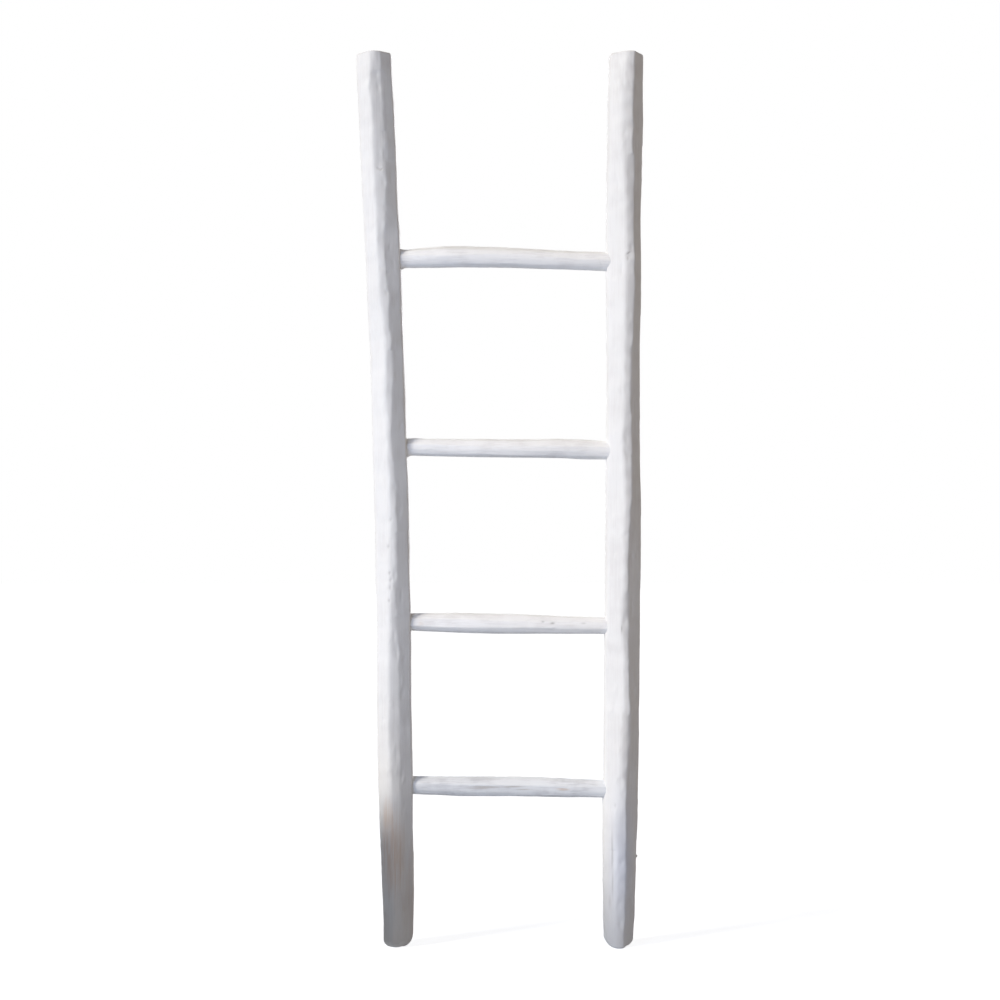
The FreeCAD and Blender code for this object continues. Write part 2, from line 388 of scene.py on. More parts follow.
def wrap(name: str, skin: HewnSkin, *axes: np.ndarray) -> bpy.types.Object:
    """Wraps a flat grid round a pole and closes its seam and its ends.

    Args:
        name: the piece's name.
        skin: the surface whose paint notes go on the points.
        *axes: the X, the Y and the Z of each point in millimetres, by row and column.

    Returns:
        The new object, at the origin.
    """
    points = np.stack(np.broadcast_arrays(*axes), axis=2)
    rows, columns = points.shape[0] - 1, points.shape[1] - 1
    shape = bmesh.new()
    bmesh.ops.create_grid(shape, x_segments=columns, y_segments=rows, size=0.5)
    notes = [(shape.verts.layers.float.new(name), values) for name, values in skin.notes.items()]
    for vert in shape.verts:
        column = round((vert.co.x + 0.5) * columns)
        row = round((vert.co.y + 0.5) * rows)
        for layer, values in notes:
            vert[layer] = values[row, column]
        vert.co = points[row, column] * MM
    bmesh.ops.remove_doubles(shape, verts=shape.verts, dist=WELD)
    bmesh.ops.recalc_face_normals(shape, faces=shape.faces)
    for face in shape.faces:
        face.smooth = True
    return stand(name, shape)


@dataclass(frozen=True)
class ChalkPaint:
    """Chalk paint on rough wood, laid on by brush: matt, streaky along the grain and thin on the high places.

    Attributes:
        name: the material's name.
        grain: the way the brush ran.
        body: the paint where it is thick.
        thin: the paint where the brush dragged it thin.
        painted_blue_light_colour: the blue tint that is painted on as bluish light in places.
        wood: the wood under it.
        grime_and_shade_colour: what gathers in cracks.
        streak_width: the width of a brush streak.
        streak_length: the length of a brush streak.
        blotch: the size of the patches where the coat is thicker or thinner.
        ridge: the height of the brush marks.
    """

    name: str
    grain: Grain
    body: str = "#E2E2E1"
    thin: str = "#DCDBDA"
    painted_blue_light_colour: str = "#D2DBEE"
    wood: str = "#D3BEAC"
    grime_and_shade_colour: str = "#6E655F"
    # A bristle's streak is about 0.5 mm wide, too fine to show, so it is drawn as coarse as it needs to be.
    streak_width: float = 2.4
    streak_length: float = 90.0
    blotch: float = 38.0
    ridge: float = 0.14

    def material(self) -> bpy.types.Material:
        """Makes the material.

        Returns:
            The new material.
        """
        material = blank_material(self.name)
        tree = material.node_tree
        place = add_node(tree, "ShaderNodeTexCoord").outputs["Object"]
        scales = {axis: 1.0 / (self.streak_width * MM) for axis in "XYZ"}
        scales[self.grain.value] = 1.0 / (self.streak_length * MM)
        stretched = add_node(
            tree, "ShaderNodeMapping", {"Vector": place, "Scale": tuple(scales.values())},
        ).outputs["Vector"]
        streaks = add_node(
            tree,
            "ShaderNodeTexNoise",
            {"Vector": stretched, "Scale": 1.0, "Detail": 4.0, "Roughness": 0.6, "Distortion": 0.4},
        ).outputs["Fac"]
        blotches = add_node(
            tree,
            "ShaderNodeTexNoise",
            {"Vector": place, "Scale": 1.0 / (self.blotch * MM), "Detail": 3.0, "Roughness": 0.55},
        ).outputs["Fac"]
        coat = add_node(tree, "ShaderNodeMath", {0: streaks, 1: blotches}, operation="ADD").outputs[0]
        thinness = add_node(
            tree, "ShaderNodeMapRange", {"Value": coat, "From Min": 0.85, "From Max": 1.35},
            interpolation_type="SMOOTHSTEP",
        ).outputs["Result"]
        notes = {
            name: add_node(tree, "ShaderNodeAttribute", attribute_name=name).outputs["Fac"]
            for name in PAINT_NOTES
        }
        worn = add_node(
            tree, "ShaderNodeMath", {0: notes["bare"], 1: streaks}, operation="MULTIPLY",
        ).outputs[0]
        showing = add_node(
            tree, "ShaderNodeMapRange", {"Value": worn, "From Min": 0.06, "From Max": 0.5, "To Max": 0.85},
            interpolation_type="SMOOTHSTEP",
        ).outputs["Result"]
        shares = (thinness, notes["cool"], showing, notes["grime"])
        colour = linear(self.body)
        for share, tone in zip(shares, (self.thin, self.painted_blue_light_colour, self.wood, self.grime_and_shade_colour)):
            colour = add_node(
                tree, "ShaderNodeMix", {MIX_FACTOR: share, MIX_FIRST: colour, MIX_SECOND: linear(tone)},
                data_type="RGBA",
            ).outputs[MIX_RESULT]
        relief = add_node(
            tree, "ShaderNodeBump", {"Height": streaks, "Distance": self.ridge * MM, "Strength": 1.0},
        ).outputs["Normal"]
        matt = add_node(
            tree,
            "ShaderNodeMapRange",
            {"Value": coat, "From Min": 0.7, "From Max": 1.4, "To Min": 0.5, "To Max": 0.72},
        ).outputs["Result"]
        surface = add_node(
            tree,
            "ShaderNodeBsdfPrincipled",
            {
                "Base Color": colour,
                "Roughness": matt,
                "Normal": relief,
                "IOR": 1.48,
                "Specular IOR Level": 0.35,
            },
        )
        add_node(tree, "ShaderNodeOutputMaterial", {"Surface": surface.outputs["BSDF"]})
        return material


@dataclass(frozen=True)
class Wear:
    """How far the rim of a rail's end is worn away on each side.

    Attributes:
        front: the wear at the front.
        left: the wear on the left.
        right: the wear on the right.
        back: the wear at the back.
    """

    front: float
    left: float
    right: float
    back: float

    # Below 2 the rim is whittled flat, at 2 it is round.
    ROUNDNESS = 1.6

    def reach(self) -> float:
        """Tells how far the wear goes from the end at most."""
        return max(self.front, self.left, self.right, self.back)

    def inset(self, rises: np.ndarray, turns: np.ndarray) -> np.ndarray:
        """Works out how far the rim is drawn in.

        Args:
            rises: distances from the end, one for each row of points.
            turns: turns round the rail, one for each column of points.

        Returns:
            How far each point is drawn in.
        """
        across = np.sin(np.radians(turns))
        ahead = np.cos(np.radians(turns))
        depth = self.front * np.maximum(ahead, 0.0) ** 2 + self.back * np.maximum(-ahead, 0.0) ** 2
        depth += self.right * np.maximum(across, 0.0) ** 2 + self.left * np.maximum(-across, 0.0) ** 2
        left_over = np.clip(1.0 - rises[:, None] / depth[None, :], 0.0, 1.0)
        return depth * (1.0 - (1.0 - left_over ** self.ROUNDNESS) ** (1.0 / self.ROUNDNESS))


@dataclass(frozen=True)
class Rail:
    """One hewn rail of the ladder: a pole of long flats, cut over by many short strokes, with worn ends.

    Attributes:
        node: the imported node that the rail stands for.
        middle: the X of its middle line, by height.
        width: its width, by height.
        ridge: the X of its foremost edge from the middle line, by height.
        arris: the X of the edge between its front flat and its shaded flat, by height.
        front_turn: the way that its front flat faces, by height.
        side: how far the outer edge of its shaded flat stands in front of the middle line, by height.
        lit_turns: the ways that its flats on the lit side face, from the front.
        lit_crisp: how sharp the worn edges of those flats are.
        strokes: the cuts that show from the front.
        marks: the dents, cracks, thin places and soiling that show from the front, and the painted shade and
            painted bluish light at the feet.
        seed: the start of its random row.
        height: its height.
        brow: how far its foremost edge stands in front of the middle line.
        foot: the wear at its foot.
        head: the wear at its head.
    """

    node: str
    middle: Course
    width: Course
    ridge: Course
    arris: Course
    front_turn: Course
    side: Course
    lit_turns: tuple[float, ...]
    lit_crisp: float
    strokes: tuple[Stroke, ...]
    marks: tuple[Mark, ...]
    seed: int
    foot: Wear
    head: Wear
    height: float = 1500.0
    brow: float = 27.6

    COLUMNS = 112
    SHAFT_ROWS = 790
    ROUND_ROWS = 14
    CAP_ROWS = 6

    # What is added to the seed, so that each use has a random row of its own.
    STROKE_ROW, SWELL_ROW, DENT_ROW, SHORT_ROW = 1, 2, 3, 4

    # The shares of the two waves that a wandering line is made of, and how far their lengths vary.
    WAVE_SHARES = (0.6, 0.4)
    WAVE_STRETCH = (0.75, 1.65)

    # How sharp the edges between the flats are, and the height and the length of the swells on them.
    FLAT_CRISP = 90.0
    SWELL = (0.22, 210.0)

    # The flats beside the back one, their reach as a share of the half width, and the back flat's setback.
    BACK_TURNS = (-137.0, 134.0)
    BACK_SHARE = 0.97
    BACK_SET = 2.0

    # The strokes that don't show: their ways and how far these vary, the first and last starts from the
    # ends, and their lengths, depths and spaces.
    HIDDEN_TURNS = (-170, -150, -125, -105, -80, 75, 100, 120, 145, 165)
    HIDDEN_SLEW = 9.0
    FIRST_START = (40.0, 160.0)
    LAST_START = 120.0
    HIDDEN_REACH = (70.0, 210.0)
    HIDDEN_DEPTH = (0.15, 0.7)
    HIDDEN_SPACE = (20.0, 190.0)

    # The dents: how many, their half lengths, half widths and depths, and the most they slant.
    DENTS = 900
    DENT_LENGTH = (4.0, 11.0)
    DENT_WIDTH = (2.2, 4.5)
    DENT_DEPTH = (-0.55, 0.65)
    DENT_SLANT = 0.8

    # The dimple over a nail: its half width, its depth and its grime.
    DIMPLE, DIMPLE_DEPTH, DIMPLE_GRIME = 4.2, 1.4, 0.12

    def profile(self) -> tuple[np.ndarray, np.ndarray]:
        """Works out the rows of points from the middle of the foot to the middle of the head.

        Returns:
            The height of each row and its share of the full section.
        """
        share = np.linspace(0.0, 1.0, self.CAP_ROWS)[:-1]
        turn = np.linspace(0.0, math.pi / 2, self.ROUND_ROWS)
        foot = self.foot.reach() * (1.0 - np.cos(turn))
        head = self.height - self.head.reach() * (1.0 - np.cos(turn[::-1]))
        shaft = np.linspace(foot[-1], head[0], self.SHAFT_ROWS)[1:-1]
        low = np.zeros_like(share)
        heights = np.concatenate((low, foot, shaft, head, low + self.height))
        full = np.ones(len(foot) + len(shaft) + len(head))
        return heights, np.concatenate((share, full, share[::-1]))

    def facets(self, heights: np.ndarray) -> tuple[list[Facet], list[Facet]]:
        """Works out the long flats from the edges that were measured and a little wandering.

        Args:
            heights: the height of each row.

        Returns:
            The flats with crisp edges, and those on the lit side, which are worn softer.
        """
        long_waves = random.Random(self.seed)
        short_waves = random.Random(self.seed + self.SHORT_ROW)

        def wander(amount: float, longest: float = 620.0, draw: random.Random = long_waves) -> np.ndarray:
            """Draws an uneven wave along the rail, as tall as the amount and about as long as the longest."""
            wave = np.zeros_like(heights)
            for share in self.WAVE_SHARES:
                length = longest * share * draw.uniform(*self.WAVE_STRETCH)
                phase = draw.uniform(0.0, math.tau)
                wave += share * np.sin(math.tau * heights / length + phase)
            return amount * wave

        half = self.width.at(heights) / 2
        ridge = self.ridge.at(heights) + wander(0.7, 130.0) + wander(0.5, 45.0, short_waves)
        arris = self.arris.at(heights) + wander(0.8, 90.0)
        front_turn = np.radians(self.front_turn.at(heights) + wander(2.5, 70.0, short_waves))
        brow = self.brow * half / half.max()
        shoulder = brow - (arris - ridge) * np.tan(front_turn)
        flats = [Facet(np.degrees(front_turn), ridge * np.sin(front_turn) + brow * np.cos(front_turn))]
        side = self.side.at(heights) + wander(0.8)
        shade = np.arctan2(shoulder - side, half - arris)
        flats.append(Facet(np.degrees(shade), arris * np.sin(shade) + shoulder * np.cos(shade)))
        lit = np.radians(self.lit_turns[0] + wander(2.0))
        worn = [Facet(np.degrees(lit), ridge * np.sin(lit) + brow * np.cos(lit))]
        for turn in self.lit_turns[1:]:
            worn.append(Facet(turn + wander(3.0), half + wander(0.4)))
        for turn in (-90.0, 90.0):
            flats.append(Facet(np.full_like(heights, turn), half))
        for turn in self.BACK_TURNS:
            flats.append(Facet(turn + wander(6.0), half * self.BACK_SHARE + wander(0.7)))
        flats.append(Facet(180.0 + wander(4.0), half - self.BACK_SET + wander(0.3)))
        return flats, worn

    def hidden_strokes(self) -> list[Stroke]:
        """Draws the strokes on the sides and the back, which the photograph doesn't show.

        Returns:
            The strokes.
        """
        draw = random.Random(self.seed + self.STROKE_ROW)
        strokes = []
        for turn in self.HIDDEN_TURNS:
            place = draw.uniform(*self.FIRST_START)
            while place < self.height - self.LAST_START:
                reach = draw.uniform(*self.HIDDEN_REACH)
                facing = turn + draw.uniform(-self.HIDDEN_SLEW, self.HIDDEN_SLEW)
                start, end = (place, place + reach) if draw.random() < 0.5 else (place + reach, place)
                strokes.append(Stroke(facing, start, end, draw.uniform(*self.HIDDEN_DEPTH)))
                place += reach + draw.uniform(*self.HIDDEN_SPACE)
        return strokes

    def dents(self) -> list[Mark]:
        """Draws the small dents and lumps that the tool and the brush left all round.

        Returns:
            The marks.
        """
        draw = random.Random(self.seed + self.DENT_ROW)
        marks = []
        for _ in range(self.DENTS):
            place = draw.uniform(0.0, self.height)
            turn = draw.uniform(-180.0, 180.0)
            length = draw.uniform(*self.DENT_LENGTH)
            width = draw.uniform(*self.DENT_WIDTH)
            depth = draw.uniform(*self.DENT_DEPTH)
            slant = draw.uniform(-self.DENT_SLANT, self.DENT_SLANT)
            marks.append(Mark(place, turn, length, width, depth, slant=slant))
        return marks

    def build(self, nails: list[tuple[float, float]]) -> bpy.types.Object:
        """Builds the rail.

        Args:
            nails: the X and the height of each nail, where the back has a dimple.

        Returns:
            The rail.
        """
        heights, shares = self.profile()
        shaft = np.clip(heights, self.foot.reach(), self.height - self.head.reach())
        flats, worn = self.facets(shaft)
        skin = HewnSkin.from_facets(shaft, self.COLUMNS, flats, self.FLAT_CRISP)
        skin.trim(worn, self.lit_crisp)
        skin.cut(list(self.strokes) + self.hidden_strokes())
        skin.sway(*self.SWELL, self.seed + self.SWELL_ROW)
        middle = self.middle.at(shaft)
        dimples = []
        for across, up in nails:
            offset = across - float(np.interp(up, shaft, middle))
            back = float(np.interp(up, shaft, self.width.at(shaft))) / 2 - self.BACK_SET
            turn = math.degrees(math.atan2(offset, -back))
            size = (self.DIMPLE, self.DIMPLE, self.DIMPLE_DEPTH)
            dimples.append(Mark(up, turn, *size, grime=self.DIMPLE_GRIME))
        skin.mark(list(self.marks) + self.dents() + dimples)
        worn_away = self.foot.inset(heights, skin.turns) + self.head.inset(self.height - heights, skin.turns)
        radius = (skin.radius - worn_away) * shares[:, None]
        turns = np.radians(skin.turns)[None, :]
        across = middle[:, None] + radius * np.sin(turns)
        return wrap(f"hewn_{self.node}", skin, across, -radius * np.cos(turns), heights[:, None])


# The rails' coat follows the grain upwards and leaves the hewn flats plain; its body is drawn a shade greyer
# than the rungs', as painted shade.
RAIL_PAINT = ChalkPaint("brushed_chalk_paint_upright", Grain.UPRIGHT)

# The rungs hold the same paint drawn whiter, as painted light, for their round fronts catch more light than
# the rails' flats; the brush marks are plainer along them.
RUNG_PAINT = ChalkPaint(
    "brushed_chalk_paint_across",
    Grain.ACROSS,
    body="#FAFAF9",
    thin="#EDECEB",
    streak_width=2.2,
    streak_length=26.0,
    ridge=0.6,
)

# The lowest rung's coat is drawn greyer and bluer than the other rungs', as painted shade and painted bluish
# light where the light fades near the floor; it is dragged so dry that the streaks stand out.
LOW_RUNG_SHADED_PAINT = replace(
    RUNG_PAINT,
    name="dry_brushed_chalk_paint_across_painted_shade",
    body="#F1F4F7",
    thin="#DADCE0",
    streak_length=30.0,
    ridge=0.8,
)


@dataclass(frozen=True)
class Rung:
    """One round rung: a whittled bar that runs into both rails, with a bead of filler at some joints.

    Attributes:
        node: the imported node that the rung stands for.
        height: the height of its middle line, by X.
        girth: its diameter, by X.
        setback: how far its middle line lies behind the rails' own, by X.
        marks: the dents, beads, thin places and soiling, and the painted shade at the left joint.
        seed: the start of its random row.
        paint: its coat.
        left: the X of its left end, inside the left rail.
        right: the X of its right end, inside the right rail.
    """

    node: str
    height: Course
    girth: Course
    setback: Course
    marks: tuple[Mark, ...]
    seed: int
    paint: ChalkPaint = RUNG_PAINT
    left: float = -186.0
    right: float = 197.0

    COLUMNS = 80
    ROWS = 320

    # What is added to the seed for the swells' random row, and the swells' height and length.
    SWELL_ROW = 1
    SWELL = (0.2, 120.0)

    # The flats: how many, how far their ways vary and drift, the drift's length, their reach as a share of
    # half the girth, and how sharp their edges are.
    FLATS = 11
    FLAT_SLEW = 9.0
    FLAT_DRIFT = 5.0
    DRIFT_LENGTH = (170.0, 420.0)
    FLAT_SHARE = (0.982, 0.998)
    FLAT_CRISP = 40.0

    # The strokes: how many, how far from the ends they start, their lengths and their depths.
    STROKES = 26
    STROKE_MARGIN = 30.0
    STROKE_REACH = (30.0, 120.0)
    STROKE_DEPTH = (0.1, 0.35)

    def build(self) -> bpy.types.Object:
        """Builds the rung.

        Returns:
            The rung.
        """
        draw = random.Random(self.seed)
        places = np.linspace(self.left, self.right, self.ROWS + 1)
        half = self.girth.at(places) / 2
        flats = []
        for index in range(self.FLATS):
            turn = 360.0 * index / self.FLATS + draw.uniform(-self.FLAT_SLEW, self.FLAT_SLEW)
            phase = draw.uniform(0.0, math.tau)
            length = draw.uniform(*self.DRIFT_LENGTH)
            drift = self.FLAT_DRIFT * np.sin(math.tau * places / length + phase)
            flats.append(Facet(turn + drift, half * draw.uniform(*self.FLAT_SHARE)))
        skin = HewnSkin.from_facets(places, self.COLUMNS, flats, self.FLAT_CRISP)
        strokes = []
        for _ in range(self.STROKES):
            start = draw.uniform(self.left + self.STROKE_MARGIN, self.right - self.STROKE_MARGIN)
            end = start + draw.uniform(*self.STROKE_REACH) * draw.choice((-1.0, 1.0))
            turn = draw.uniform(-180.0, 180.0)
            strokes.append(Stroke(turn, start, end, draw.uniform(*self.STROKE_DEPTH)))
        skin.cut(strokes)
        skin.sway(*self.SWELL, self.seed + self.SWELL_ROW)
        skin.mark(list(self.marks))
        skin.radius[0] = 0.0
        skin.radius[-1] = 0.0
        turns = np.radians(skin.turns)[None, :]
        back = self.setback.at(places)[:, None] - skin.radius * np.cos(turns)
        up = self.height.at(places)[:, None] + skin.radius * np.sin(turns)
        return wrap(f"whittled_{self.node}", skin, places[:, None], back, up)


LEFT_RAIL = Rail(
    node="left_rail",
    middle=Course({
        0: -171, 60: -170.7, 110: -172, 310: -176.8, 510: -178.5, 715: -182, 920: -187.8, 1120: -195.2,
        1290: -203, 1500: -213,
    }, 50),
    width=Course({
        0: 49, 60: 51, 110: 54, 270: 58.5, 580: 57.5, 750: 58, 1000: 56.5, 1090: 58.5, 1390: 60,
        1500: 59,
    }, 30),
    ridge=Course({
        0: -8, 460: -8, 530: -5.5, 680: -2, 790: -1.5, 940: -5, 1012: 0, 1090: -7, 1320: -8, 1382: -5.5,
        1440: -8, 1500: -3,
    }),
    arris=Course({
        0: 8.5, 530: 9, 610: 3.5, 640: 11, 715: 9.5, 770: 6.5, 850: 3.5, 950: 9, 1012: 9, 1050: 7,
        1090: 8, 1150: 4, 1185: 4.5, 1290: 14.5, 1345: 14.5, 1400: 12, 1500: 11.5,
    }, 10),
    front_turn=Course({0: 12, 500: 13, 720: 7, 1260: 7, 1345: 13, 1390: 11, 1440: 14, 1500: 10}, 40),
    side=Course({0: 12, 1060: 12, 1155: 13, 1250: 12}, 30),
    lit_turns=(-38,),
    lit_crisp=14,
    strokes=tuple(
        Stroke(*cut) for cut in (
            (24, 1372, 1290, 0.5), (34, 1322, 1200, 0.6), (12, 1470, 1380, 0.5), (46, 1075, 1010, 0.6),
            (14, 1005, 930, 0.6), (40, 930, 850, 0.7), (8, 820, 740, 0.5), (30, 700, 610, 0.9),
            (-12, 690, 600, 0.5), (26, 560, 500, 0.5), (10, 420, 330, 0.4), (-20, 300, 190, 0.5),
            (28, 210, 120, 0.4),
        )
    ),
    marks=(
        Mark(1303, 3, 1.8, 3.2, 0.7, grime=0.2, slant=-0.5),
        Mark(1302, 13, 1.8, 2.6, 0.9, grime=0.4, slant=0.6),
        Mark(1299, 8, 1.8, 3, -0.6),
        Mark(1137, -2, 4, 4.5, 0.5),
        Mark(717, 0, 3, 2.2, 0.8, grime=0.2),
        Mark(672, -12, 3.5, 2.4, 0.9, grime=0.25),
        Mark(628, -8, 3, 2.2, 0.9, grime=0.3),
        Mark(616, -5, 3, 2, 0.9, grime=0.2, slant=0.5),
        Mark(604, -7, 4, 2, 0.9, grime=0.25),
        Mark(582, -12, 3, 2.2, 0.9, grime=0.3),
        # The broad dark mark on the foot's shaded side is painted shade, where the light falls off near the
        # floor; the bare marks after it let the wood show through the paint.
        Mark(70, 64, 170, 24, grime=0.26),
        Mark(214, -30, 42, 19, bare=0.66),
        Mark(160, -19, 80, 32, bare=0.74),
        Mark(90, 60, 110, 26, bare=0.42),
    ),
    seed=11,
    foot=Wear(12, 11, 20, 12),
    head=Wear(1.5, 4.5, 4, 4),
)

RIGHT_RAIL = Rail(
    node="right_rail",
    middle=Course({
        0: 199, 110: 200.5, 310: 203.5, 510: 205.5, 715: 207.5, 920: 207, 1120: 208, 1220: 207.5,
        1320: 209.5, 1500: 212.5,
    }, 50),
    width=Course({
        0: 48.5, 25: 49.5, 60: 53.5, 200: 58.5, 640: 60, 750: 59, 920: 55.5, 1000: 56, 1090: 59,
        1220: 58, 1290: 59.5, 1390: 59.5, 1500: 57,
    }, 24),
    ridge=Course({
        0: -6, 205: -8, 240: -3, 340: -1, 440: 3.5, 490: 1.5, 530: -3.5, 570: -3.5, 605: 0.5, 750: 1.5,
        850: -2, 950: 1.5, 1020: -0.5, 1190: 3.5, 1250: 1.5, 1382: -7.5, 1425: -6.5, 1500: 2,
    }, 10),
    arris=Course({
        0: 7.5, 140: 9, 275: 7, 345: 11.5, 382: 13, 440: 10, 580: 7, 680: 6, 715: 9.5, 780: 14.5,
        900: 11, 985: 13, 1120: 17, 1320: 13, 1340: 11, 1425: 10.5, 1500: 13,
    }, 8),
    front_turn=Course({
        0: 4, 200: 4, 300: 8, 600: 9, 950: 10, 1150: 8, 1310: 8, 1340: -1, 1450: -2, 1500: 6,
    }, 20),
    side=Course({0: 5, 1500: 5}),
    lit_turns=(-31, -60),
    lit_crisp=18,
    strokes=tuple(
        Stroke(*cut) for cut in (
            (17, 1331, 1180, 1.3), (6, 1440, 1360, 0.6), (24, 1480, 1420, 0.5), (20, 1130, 1030, 0.5),
            (36, 1010, 920, 0.6), (14, 900, 820, 0.5), (42, 830, 730, 0.6), (8, 700, 640, 0.5),
            (22, 600, 520, 0.5), (0, 470, 380, 0.5), (30, 395, 300, 0.9), (-14, 290, 200, 0.6),
            (18, 180, 60, 0.5), (-30, 170, 40, 0.6),
        )
    ),
    marks=(
        Mark(1158, 15, 7, 4.5, 0.9, grime=0.1),
        Mark(1163, 9, 2.2, 4, -0.9, slant=0.4),
        Mark(1150, 20, 2, 3, -0.7),
        Mark(1162, 14, 1.3, 3.2, 0.5, grime=0.5, slant=0.5),
        Mark(1153, 11, 4, 1.2, 0.4, grime=0.4),
        Mark(1130, 12, 8, 3.5, 0.5),
        Mark(535, -5.5, 6, 0.9, 0.3, grime=0.6),
        Mark(240, -24, 4, 2.2, 0.3, grime=0.16),
        Mark(151.5, 84, 1.9, 1.9, -2.8, grime=0.75),
        # The broad dark marks on the foot's shaded side and lit side are painted shade, where the light falls
        # off near the floor, and the blue-tinted marks are painted bluish light on the foot; the thin streaks
        # and small blotches after them are the coat's own.
        Mark(16, 60, 70, 22, grime=0.15),
        Mark(138, 7, 105, 22, cool=0.56),
        Mark(120, -48, 95, 24, grime=0.12, cool=0.12),
        Mark(160, -33, 36, 1.8, grime=0.4, slant=0.03),
        Mark(112, -30, 30, 1.8, grime=0.36, slant=-0.04),
        Mark(80, -42, 18, 2.4, grime=0.24, slant=0.06),
        Mark(118, -48, 9, 4, grime=0.08),
        Mark(95, -36, 14, 3, grime=0.07),
        Mark(72, -22, 8, 4, grime=0.08, slant=-0.6),
        Mark(55, -12, 3, 8, grime=0.07, slant=-0.4),
    ),
    seed=23,
    foot=Wear(3, 15, 14, 12),
    head=Wear(1.5, 5, 4.5, 4),
)

RUNGS = (
    Rung(
        node="rung_1",
        height=Course({
            -186: 1155.6, -142: 1157, -92: 1158.8, -67: 1159.1, 9: 1157.8, 60: 1155.9, 136: 1152.4,
            161: 1152.1, 197: 1151.6,
        }, 18),
        girth=Course({
            -186: 29, -165: 30, -142: 31.8, -120: 33.6, -92: 35.2, 9: 33.4, 60: 33, 115: 31, 136: 30.6,
            161: 31.8, 197: 32.2,
        }),
        setback=Course({-186: 4, -60: 1, 120: 1.5, 197: 5}, 30),
        marks=(
            # The dark on the lower bead at the left joint and the dark patch at the left end are painted
            # shade: the shadow that the left rail casts on the rung's end.
            Mark(-166, -72, 5, 9, -4, grime=0.24),
            Mark(-167, 66, 4, 9, -2),
            Mark(-164, 0, 8, 20, grime=0.22),
            Mark(167, 22, 1.6, 4, 0.3, slant=0.4),
            Mark(168, -20, 1.6, 5, 0.3, grime=0.08, slant=-0.4),
        ),
        seed=31,
    ),
    Rung(
        node="rung_2",
        height=Course({
            -186: 840, -142: 839.4, -67: 837.6, 35: 836.7, 110: 836.6, 161: 834.3, 197: 833,
        }, 18),
        girth=Course({
            -186: 28.2, -160: 28.6, -142: 29.6, -67: 30, 35: 31.6, 136: 32.9, 161: 31.6, 197: 31,
        }),
        setback=Course({-186: 8.5, -130: 6.5, -40: 2, 120: 1, 197: 2}, 30),
        marks=(
            # These three marks are painted shade: the shadow that the left rail casts on the rung's left end
            # and lower bead, deepest at the top and fading along the rung.
            Mark(-157, -75, 4.5, 10, -4, grime=0.15),
            Mark(-152, 25, 7, 16, grime=0.2),
            Mark(-150, 0, 42, 60, grime=0.05),
        ),
        seed=41,
    ),
    Rung(
        node="rung_3",
        height=Course({-186: 545, -142: 544.4, -41: 542.5, 60: 540.9, 136: 539.3, 197: 538.4}, 18),
        girth=Course({
            -186: 29.5, -142: 30.3, -67: 33.8, 35: 33.4, 110: 30.6, 136: 29.7, 161: 29.4, 197: 29.2,
        }),
        setback=Course({-186: 8, -130: 6.5, -40: 2, 120: 1, 197: 2}, 30),
        marks=(
            # The first two marks are painted shade, the shadow that the left rail casts on the rung's left
            # end; the bare patch and dark flecks after them are the coat's own.
            Mark(-146, 20, 9, 18, grime=0.2),
            Mark(-145, 0, 38, 60, grime=0.06),
            Mark(-134, -2, 9, 7, 0.2, bare=0.4),
            Mark(-32, 10, 12, 2.5, bare=0.3),
            Mark(88, 12, 3.5, 1.6, 0.6, grime=0.55),
            Mark(72, 20, 2.5, 1.4, 0.5, grime=0.4),
            Mark(140, 16, 4, 1.2, 0.4, grime=0.3),
        ),
        seed=53,
    ),
    Rung(
        node="rung_4",
        height=Course({
            -186: 270, -142: 269.5, -67: 267.9, 60: 267.8, 110: 266, 161: 264.4, 197: 263.4,
        }, 18),
        girth=Course({-186: 29.8, -142: 30.3, -67: 33.5, 35: 33.4, 110: 31.8, 161: 30, 197: 29.6}),
        setback=Course({-186: 7, -130: 5.5, -40: 2, 120: 1, 197: 2}, 30),
        marks=(
            Mark(-25, 5, 30, 1.6, 0.3, bare=0.6, grime=0.4),
            Mark(-35, -4, 22, 1.2, 0.3, bare=0.5, grime=0.35),
            Mark(20, 8, 20, 1.3, 0.3, bare=0.6, grime=0.4),
            Mark(40, -8, 14, 1.2, 0.2, bare=0.4, grime=0.3),
            Mark(105, -2, 14, 2.4, bare=0.8),
        ),
        seed=67,
        paint=LOW_RUNG_SHADED_PAINT,
    ),
)


@dataclass(frozen=True)
class SoftBox:
    """One soft box near the ladder.

    Attributes:
        name: its name.
        place: where it hangs, in metres.
        aim: what it points at, in metres.
        width: its width in metres.
        height: its height in metres.
        power: its power in watts.
        colour: its colour.
    """

    name: str
    place: tuple[float, float, float]
    aim: tuple[float, float, float]
    width: float
    height: float
    power: float
    colour: str

    def hang(self) -> None:
        """Hangs the box."""
        light = bpy.data.lights.new(self.name, "AREA")
        light.shape = "RECTANGLE"
        light.size = self.width
        light.size_y = self.height
        light.energy = self.power
        light.color = linear(self.colour)[:3]
        lamp = bpy.data.objects.new(self.name, light)
        way = mathutils.Vector(self.aim) - mathutils.Vector(self.place)
        lamp.location = self.place
        lamp.rotation_euler = way.to_track_quat("-Z", "Y").to_euler()
        bpy.context.scene.collection.objects.link(lamp)


@dataclass(frozen=True)
class FarLamp:
    """A large lamp so far off that its light falls evenly on the whole ladder.

    Attributes:
        bearing: how far to the left of the front it stands, in degrees.
        climb: how high it stands, in degrees.
        spread: how large it looks, in degrees.
        strength: the light that reaches a surface that faces it, in watts per square metre.
        colour: its colour.
    """

    bearing: float
    climb: float
    spread: float
    strength: float
    colour: str

    def hang(self, name: str) -> bpy.types.Object:
        """Hangs the lamp.

        Args:
            name: the lamp's name.

        Returns:
            The lamp.
        """
        light = bpy.data.lights.new(name, "SUN")
        light.energy = self.strength
        light.angle = math.radians(self.spread)
        light.color = linear(self.colour)[:3]
        lamp = bpy.data.objects.new(name, light)
        lamp.rotation_euler = (math.radians(90.0 - self.climb), 0.0, math.radians(-self.bearing))
        bpy.context.scene.collection.objects.link(lamp)
        return lamp


